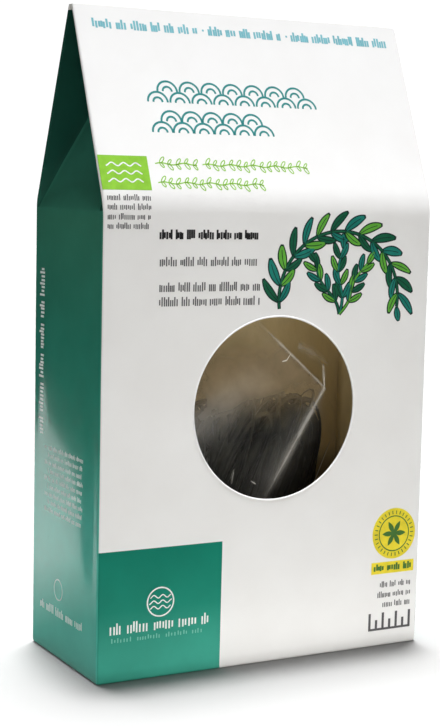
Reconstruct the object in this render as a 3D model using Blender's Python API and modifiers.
"""A tent-top window carton of dried sea spaghetti.

The carton is one folded and glued blank of thin board. A clear film pouch leans inside it and shows
through the round window, and the pouch holds a bundle of dried strands. Everything is in metres, with
the origin at the middle of the base, X along the front, Y into the depth and Z up.
"""

import math
import random

import bmesh
import bpy
from mathutils import Vector

# Driving dimensions of the carton
WIDTH = 0.110
DEPTH = 0.049
RIDGE_HEIGHT = 0.192
FOLD_HEIGHT = 0.134
FRONT_SHOULDER = 0.1375
BACK_SHOULDER = 0.1360
FRONT_BEND_RADIUS = 0.020
BACK_BEND_RADIUS = 0.008
BEND_STEPS = 5
RIDGE_THICKNESS = 0.0028
RIDGE_STRIP = 0.0016
BOARD = 0.0005

# The end pockets, where the side panels fold in under the roof
POCKET_INSET = 0.0018
POCKET_REACH = DEPTH / 2
POCKET_BOW = 0.0010
PAST = 0.005

# The window in the front
WINDOW_RADIUS = 0.0272
WINDOW_X = 0.0015
WINDOW_Z = 0.0768
WINDOW_SIDES = 72

# The base flaps, the glued seam and the ridge
BASE_LAYERS = 3
FLAP_MARGIN = 0.0012
FLAP_GAP = 0.0004
SEAM_WIDTH = 0.012
RIDGE_GROOVE = 0.0004
RIDGE_GROOVE_DEPTH = 0.0007
SLIT_LENGTH = 0.006
SLIT_WIDTH = 0.0010
SLIT_DEPTH = 0.0011
SLIT_X = -0.0065

# The film pouch, whose real film is far thinner than any solid here can be
FILM = 0.0003
MOUTH = 0.0014

# The dried strands
STRANDS = 17
STRAND_WIDTH = 0.0044
STRAND_THICKNESS = 0.0017
STRAND_POINTS = 22
LAYER_STEP = 7
SEED = 2


def new_material(name, colour, roughness, alpha=1.0):
    """A Principled material with one colour, roughness and opacity."""
    material = bpy.data.materials.new(name)
    material.use_nodes = True
    shader = material.node_tree.nodes["Principled BSDF"]
    shader.inputs["Base Color"].default_value = (*colour, 1.0)
    shader.inputs["Roughness"].default_value = roughness
    shader.inputs["Metallic"].default_value = 0.0
    shader.inputs["Alpha"].default_value = alpha
    material.diffuse_color = (*colour, alpha)
    return material


def clear_scene():
    for old in list(bpy.data.objects):
        bpy.data.objects.remove(old, do_unlink=True)


def new_collection(name):
    collection = bpy.data.collections.new(name)
    bpy.context.scene.collection.children.link(collection)
    return collection


def object_of(mesh, name, collection):
    made = bpy.data.objects.new(name, mesh)
    collection.objects.link(made)
    return made


def as_helper(made):
    """Hides a cutter from renders and from the finished part."""
    made.hide_render = True
    made.display_type = "WIRE"
    return made


def evaluated_mesh(made):
    bpy.context.view_layer.update()
    graph = bpy.context.evaluated_depsgraph_get()
    return bpy.data.meshes.new_from_object(made.evaluated_get(graph))


def swap_for_mesh(curve_object, collection):
    """Replaces a curve object with a mesh of the same shape, its caps welded to its sides."""
    mesh = evaluated_mesh(curve_object)
    bm = bmesh.new()
    bm.from_mesh(mesh)
    bmesh.ops.remove_doubles(bm, verts=bm.verts, dist=0.000001)
    bmesh.ops.recalc_face_normals(bm, faces=bm.faces)
    bm.to_mesh(mesh)
    bm.free()
    name = curve_object.name
    place = curve_object.matrix_world.copy()
    bpy.data.objects.remove(curve_object, do_unlink=True)
    made = object_of(mesh, name, collection)
    made.matrix_world = place
    return made


def boolean(target, operation, cutter):
    """Adds a Boolean with one cutter object, or with a whole collection of them."""
    modifier = target.modifiers.new(operation.title(), "BOOLEAN")
    modifier.operation = operation
    modifier.solver = "EXACT"
    if isinstance(cutter, bpy.types.Collection):
        modifier.operand_type = "COLLECTION"
        modifier.collection = cutter
    else:
        modifier.object = cutter
    return modifier


def box(name, low, high, collection):
    """An upright box between two opposite corners."""
    low, high = Vector(low), Vector(high)
    mesh = bpy.data.meshes.new(name)
    bm = bmesh.new()
    bmesh.ops.create_cube(bm, size=1.0)
    bmesh.ops.scale(bm, vec=high - low, verts=bm.verts)
    bmesh.ops.translate(bm, vec=(low + high) / 2, verts=bm.verts)
    bm.to_mesh(mesh)
    bm.free()
    return object_of(mesh, name, collection)


def gable_side(shoulder, bend_radius, inset, top):
    """One side of the gable as (distance from the mid-plane, height), from its wall up to the top."""
    slope = math.atan2((DEPTH - RIDGE_THICKNESS) / 2, RIDGE_HEIGHT - shoulder)
    centre_out = DEPTH / 2 - bend_radius
    centre_up = shoulder - bend_radius * math.tan(slope / 2)
    points = []
    for step in range(BEND_STEPS + 1):
        angle = slope * step / BEND_STEPS
        reach = bend_radius - inset
        points.append((centre_out + reach * math.cos(angle), centre_up + reach * math.sin(angle)))
    out, up = points[-1]
    points.append((max(out - (top - up) * math.tan(slope), 0.00005), top))
    return points


def gable_outline(inset, base, top):
    """The end view of the carton as (depth, height) points, moved in by an inset."""
    front = gable_side(FRONT_SHOULDER, FRONT_BEND_RADIUS, inset, top)
    back = gable_side(BACK_SHOULDER, BACK_BEND_RADIUS, inset, top)
    wall = DEPTH / 2 - inset
    outline = [(wall, base)] + back
    outline += [(-out, up) for out, up in reversed(front)]
    return outline + [(-wall, base)]


def prism(name, outline, x_low, x_high, collection):
    """A solid with an end outline of (depth, height) points, drawn out along X."""
    curve = bpy.data.curves.new(name, "CURVE")
    curve.dimensions = "2D"
    curve.fill_mode = "BOTH"
    curve.extrude = (x_high - x_low) / 2
    spline = curve.splines.new("POLY")
    spline.points.add(len(outline) - 1)
    for point, (depth, height) in zip(spline.points, outline):
        point.co = (depth, height, 0.0, 1.0)
    spline.use_cyclic_u = True
    made = object_of(curve, name, collection)
    made.rotation_euler = (math.radians(90), 0.0, math.radians(90))
    made.location = ((x_low + x_high) / 2, 0.0, 0.0)
    return swap_for_mesh(made, collection)


def pocket(name, side, inset, drop, collection):
    """The hollow at one end of the roof, above the triangle of side panel that leans in under the ridge.

    side is -1 at the left and +1 at the right. drop lowers its floor, to leave the board's thickness.
    """
    end = side * WIDTH / 2
    apex = side * (WIDTH / 2 - POCKET_REACH)
    x_low, x_high = sorted((end + side * PAST, apex - side * PAST))
    top = RIDGE_HEIGHT - RIDGE_STRIP
    outline = gable_outline(inset, FOLD_HEIGHT - 2 * PAST, top)
    block = prism(name, outline, x_low, x_high, collection)
    block.data.transform(block.matrix_world)
    block.matrix_world.identity()
    foot = Vector((end, 0.0, FOLD_HEIGHT))
    tip = Vector((apex, 0.0, top))
    lean = (tip - foot).normalized()
    up_normal = Vector((side * lean.z, 0.0, -side * lean.x))
    middle = (foot + tip) / 2 - up_normal * POCKET_BOW
    bm = bmesh.new()
    bm.from_mesh(block.data)
    for start, finish in ((foot, middle), (middle, tip)):
        run = (finish - start).normalized()
        normal = Vector((side * run.z, 0.0, -side * run.x))
        cut = bmesh.ops.bisect_plane(
            bm,
            geom=bm.verts[:] + bm.edges[:] + bm.faces[:],
            plane_co=start - normal * drop,
            plane_no=normal,
            clear_inner=True,
        )
        edges = [part for part in cut["geom_cut"] if isinstance(part, bmesh.types.BMEdge)]
        bmesh.ops.edgeloop_fill(bm, edges=edges)
    bmesh.ops.recalc_face_normals(bm, faces=bm.faces)
    bm.to_mesh(block.data)
    bm.free()
    return as_helper(block)


def build_carton(parts, cutters):
    """The folded blank: walls, roof, end gussets, base flaps, glued seam and round window."""
    carton = prism("carton", gable_outline(0.0, 0.0, RIDGE_HEIGHT), -WIDTH / 2, WIDTH / 2, parts)
    inner_end = WIDTH / 2 - BOARD
    inner_outline = gable_outline(BOARD, BASE_LAYERS * BOARD, RIDGE_HEIGHT - RIDGE_STRIP)
    cavity = as_helper(prism("cavity", inner_outline, -inner_end, inner_end, cutters))
    seam = box(
        "glued_seam",
        (inner_end - BOARD, DEPTH / 2 - SEAM_WIDTH, -PAST),
        (WIDTH / 2 + PAST, DEPTH, FOLD_HEIGHT - PAST),
        cutters,
    )
    boolean(cavity, "DIFFERENCE", as_helper(seam))
    for side, where in ((-1, "left"), (1, "right")):
        under = pocket("under_gusset_" + where, side, 0.0, BOARD, cutters)
        boolean(cavity, "DIFFERENCE", under)
        boolean(carton, "DIFFERENCE", pocket("pocket_" + where, side, POCKET_INSET, 0.0, cutters))
    boolean(carton, "DIFFERENCE", cavity)
    boolean(carton, "DIFFERENCE", window_cutter(cutters))
    boolean(carton, "DIFFERENCE", seam_lines(cutters))
    return carton


def window_cutter(cutters):
    """A round punch through the front wall."""
    mesh = bpy.data.meshes.new("window")
    bm = bmesh.new()
    bmesh.ops.create_cone(
        bm,
        cap_ends=True,
        segments=WINDOW_SIDES,
        radius1=WINDOW_RADIUS,
        radius2=WINDOW_RADIUS,
        depth=2 * PAST,
    )
    bm.to_mesh(mesh)
    bm.free()
    punch = object_of(mesh, "window", cutters)
    punch.rotation_euler = (math.radians(90), 0.0, 0.0)
    punch.location = (WINDOW_X, -DEPTH / 2, WINDOW_Z)
    return as_helper(punch)


def seam_lines(cutters):
    """The thin gaps at the free edges of the base flap, along the ridge and at the ridge's slit."""
    lines = bpy.data.collections.new("seam_lines")
    cutters.children.link(lines)
    end = WIDTH / 2 - FLAP_MARGIN
    back = DEPTH / 2 - FLAP_MARGIN
    front = -DEPTH / 2 + FLAP_MARGIN
    top = RIDGE_HEIGHT
    long_enough = WIDTH / 2 + PAST
    corners = {
        "flap_back": ((-end, back - FLAP_GAP, -PAST), (end, back, BOARD)),
        "flap_left": ((-end, front, -PAST), (-end + FLAP_GAP, back, BOARD)),
        "flap_right": ((end - FLAP_GAP, front, -PAST), (end, back, BOARD)),
        "ridge_groove": (
            (-long_enough, -RIDGE_GROOVE / 2, top - RIDGE_GROOVE_DEPTH),
            (long_enough, RIDGE_GROOVE / 2, top + PAST),
        ),
        "ridge_slit": (
            (SLIT_X - SLIT_LENGTH / 2, -SLIT_WIDTH / 2, top - SLIT_DEPTH),
            (SLIT_X + SLIT_LENGTH / 2, SLIT_WIDTH / 2, top + PAST),
        ),
    }
    for name, (low, high) in corners.items():
        as_helper(box(name, low, high, lines))
    return lines


def build_pouch(parts):
    """The clear film pouch, which leans on the left wall with its sealed top edge running down to the right."""
    seal_right = Vector((0.0250, -0.0125, 0.0815))
    seal_left = Vector((-0.0330, -0.0020, 0.1290))
    across = Vector((0.0, MOUTH / 2, 0.0))
    corners = [
        (-0.0480, -0.0170, 0.0018),
        (-0.0160, -0.0175, 0.0018),
        (0.0140, 0.0130, 0.0018),
        (-0.0480, 0.0175, 0.0018),
        (-0.0525, -0.0185, 0.0400),
        (-0.0525, 0.0190, 0.0400),
        (-0.0525, -0.0130, 0.0920),
        (-0.0525, 0.0130, 0.0920),
        (0.0200, 0.0180, 0.0450),
        (0.0405, 0.0080, 0.0640),
        seal_right - across,
        seal_right + across,
        seal_left - across,
        seal_left + across,
    ]
    mesh = bpy.data.meshes.new("film_pouch")
    bm = bmesh.new()
    for corner in corners:
        bm.verts.new(corner)
    bmesh.ops.convex_hull(bm, input=bm.verts)
    bm.verts.ensure_lookup_table()
    mouth_corners = set(bm.verts[-4:])
    mouth = [face for face in bm.faces if set(face.verts) <= mouth_corners]
    bmesh.ops.delete(bm, geom=mouth, context="FACES")
    bmesh.ops.recalc_face_normals(bm, faces=bm.faces)
    bm.to_mesh(mesh)
    bm.free()
    pouch = object_of(mesh, "film_pouch", parts)
    film = pouch.modifiers.new("Film", "SOLIDIFY")
    film.thickness = FILM
    film.offset = -1.0
    return pouch


def inside_pouch(across, depth, height):
    """A point in the space that the strands fill, from three fractions between 0 and 1."""
    corners = {
        (0, 0, 0): Vector((-0.0460, -0.0135, 0.0045)),
        (1, 0, 0): Vector((-0.0150, -0.0140, 0.0045)),
        (0, 1, 0): Vector((-0.0460, 0.0135, 0.0045)),
        (1, 1, 0): Vector((0.0090, 0.0100, 0.0045)),
        (0, 0, 1): Vector((-0.0480, -0.0120, 0.0760)),
        (1, 0, 1): Vector((0.0150, -0.0105, 0.0730)),
        (0, 1, 1): Vector((-0.0480, 0.0120, 0.0800)),
        (1, 1, 1): Vector((0.0330, 0.0085, 0.0640)),
    }
    point = Vector((0.0, 0.0, 0.0))
    for (i, j, k), corner in corners.items():
        weight = across if i else 1 - across
        weight *= depth if j else 1 - depth
        weight *= height if k else 1 - height
        point += corner * weight
    return point


def strand_path(index, draw):
    """The points of one strand: a few tall loops that drift across the pouch."""
    turns = draw.uniform(1.2, 1.9)
    middle = 0.10 + 0.80 * (index + 0.5) / STRANDS
    drift = draw.uniform(-0.35, 0.35)
    loop = draw.uniform(0.06, 0.16)
    layer = 0.10 + 0.80 * ((index * LAYER_STEP) % STRANDS + 0.5) / STRANDS
    sway = draw.uniform(0.10, 0.25)
    phase = draw.uniform(0, 2 * math.pi)
    floor = draw.uniform(0.00, 0.08)
    roof = draw.uniform(0.78, 1.00)
    points = []
    for step in range(STRAND_POINTS):
        along = step / (STRAND_POINTS - 1)
        angle = phase + 2 * math.pi * turns * along
        across = middle + drift * (along - 0.5) + loop * math.sin(angle)
        depth = layer + sway * math.sin(0.7 * angle + phase)
        height = floor + (roof - floor) * (0.5 - 0.5 * math.cos(angle))
        points.append(inside_pouch(min(max(across, 0), 1), min(max(depth, 0), 1), height))
    return points


def build_strands(parts, helpers):
    """The dried strands: flat ribbons swept along their paths and fused into one bundle."""
    draw = random.Random(SEED)
    section = bpy.data.curves.new("strand_section", "CURVE")
    section.dimensions = "2D"
    outline = section.splines.new("POLY")
    outline.points.add(5)
    for index, point in enumerate(outline.points):
        angle = math.radians(60 * index)
        x = STRAND_WIDTH / 2 * math.cos(angle)
        y = STRAND_THICKNESS / math.sqrt(3) * math.sin(angle)
        point.co = (x, y, 0.0, 1.0)
    outline.use_cyclic_u = True
    section_object = as_helper(object_of(section, "strand_section", helpers))

    bunch = bpy.data.collections.new("strand_bunch")
    helpers.children.link(bunch)
    for index in range(STRANDS):
        curve = bpy.data.curves.new("strand", "CURVE")
        curve.dimensions = "3D"
        curve.bevel_mode = "OBJECT"
        curve.bevel_object = section_object
        curve.use_fill_caps = True
        curve.twist_mode = "MINIMUM"
        spline = curve.splines.new("POLY")
        spline.points.add(STRAND_POINTS - 1)
        width = draw.uniform(0.75, 1.15)
        twist = draw.uniform(-1.5, 1.5)
        for step, (point, place) in enumerate(zip(spline.points, strand_path(index, draw))):
            along = step / (STRAND_POINTS - 1)
            point.co = (*place, 1.0)
            point.radius = width * (0.55 + 0.45 * math.sin(math.pi * (0.1 + 0.8 * along)))
            point.tilt = twist * 2 * math.pi * along * 0.4
        swap_for_mesh(object_of(curve, f"strand_{index:02d}", bunch), bunch)

    strands = object_of(bpy.data.meshes.new("empty"), "seaweed_strands", parts)
    first = bunch.objects[0]
    strands.data = first.data.copy()
    bunch.objects.unlink(first)
    bpy.data.objects.remove(first, do_unlink=True)
    union = boolean(strands, "UNION", bunch)
    union.use_self = True
    fused = evaluated_mesh(strands)
    strands.modifiers.clear()
    strands.data = fused
    for strand in list(bunch.objects):
        bpy.data.objects.remove(strand, do_unlink=True)
    bpy.data.collections.remove(bunch)
    keep_largest_body(fused)
    return strands


def keep_largest_body(mesh):
    """Drops any strand that touches none of the others."""
    bm = bmesh.new()
    bm.from_mesh(mesh)
    unseen = set(bm.verts)
    bodies = []
    while unseen:
        body = set()
        edge_of_search = [unseen.pop()]
        while edge_of_search:
            vertex = edge_of_search.pop()
            body.add(vertex)
            for link in vertex.link_edges:
                other = link.other_vert(vertex)
                if other in unseen:
                    unseen.remove(other)
                    edge_of_search.append(other)
        bodies.append(body)
    bodies.sort(key=len, reverse=True)
    loose = [vertex for body in bodies[1:] for vertex in body]
    bmesh.ops.delete(bm, geom=loose, context="VERTS")
    bm.to_mesh(mesh)
    bm.free()


def finish(made, material, smooth_angle=None):
    made.data.materials.clear()
    made.data.materials.append(material)
    if smooth_angle is not None:
        made.data.shade_smooth()
        made.data.set_sharp_from_angle(angle=math.radians(smooth_angle))


def main():
    clear_scene()
    parts = new_collection("sea_spaghetti_carton")
    helpers = new_collection("cutters")
    carton = build_carton(parts, helpers)
    pouch = build_pouch(parts)
    strands = build_strands(parts, helpers)
    finish(carton, new_material("white_board", (0.90, 0.89, 0.86), 0.45))
    finish(pouch, new_material("clear_film", (0.85, 0.87, 0.86), 0.12, 0.3))
    finish(strands, new_material("dried_seaweed", (0.035, 0.030, 0.020), 0.55), 40)


main()
